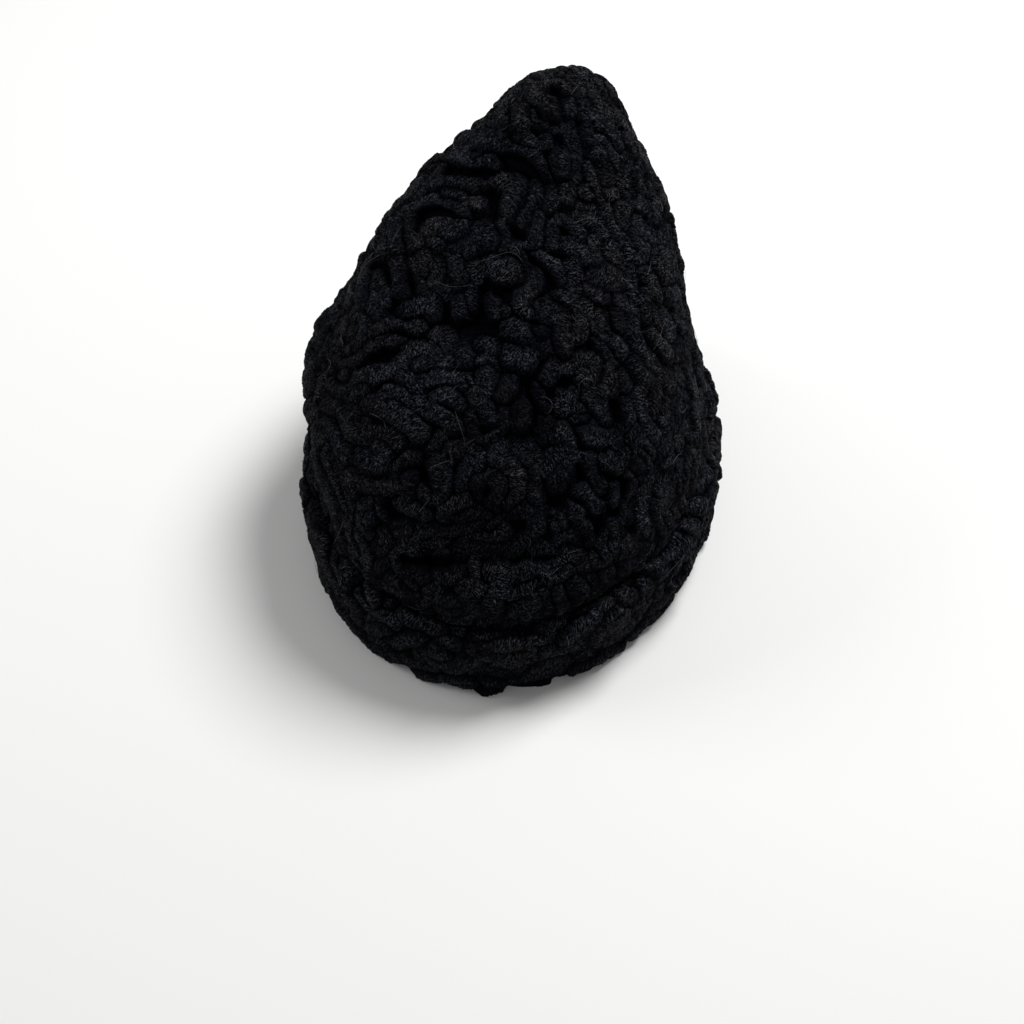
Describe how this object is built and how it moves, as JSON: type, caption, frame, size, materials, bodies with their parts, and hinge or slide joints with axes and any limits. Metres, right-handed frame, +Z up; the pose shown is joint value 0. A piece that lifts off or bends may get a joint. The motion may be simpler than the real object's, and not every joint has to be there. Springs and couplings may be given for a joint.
{
  "type": "cossack hat",
  "caption": "Tall soft fur hat with a blunt peak over the front, a sloping back and a narrow turned-up cuff, worn on the head.",
  "frame": {"origin": "middle of the cuff's underside, on the surface that the hat rests on", "axes": "+Z up through the crown, -Y to the hat's front, where the peak is, +X to the wearer's left"},
  "size_m": [0.2014, 0.2424, 0.1905],
  "materials": {
    "lamb_fur": "tightly curled black lamb fur with a soft sheen"
  },
  "bodies": {
    "root": {"crown": "lamb_fur", "cuff": "lamb_fur"}
  },
  "joints": []
}
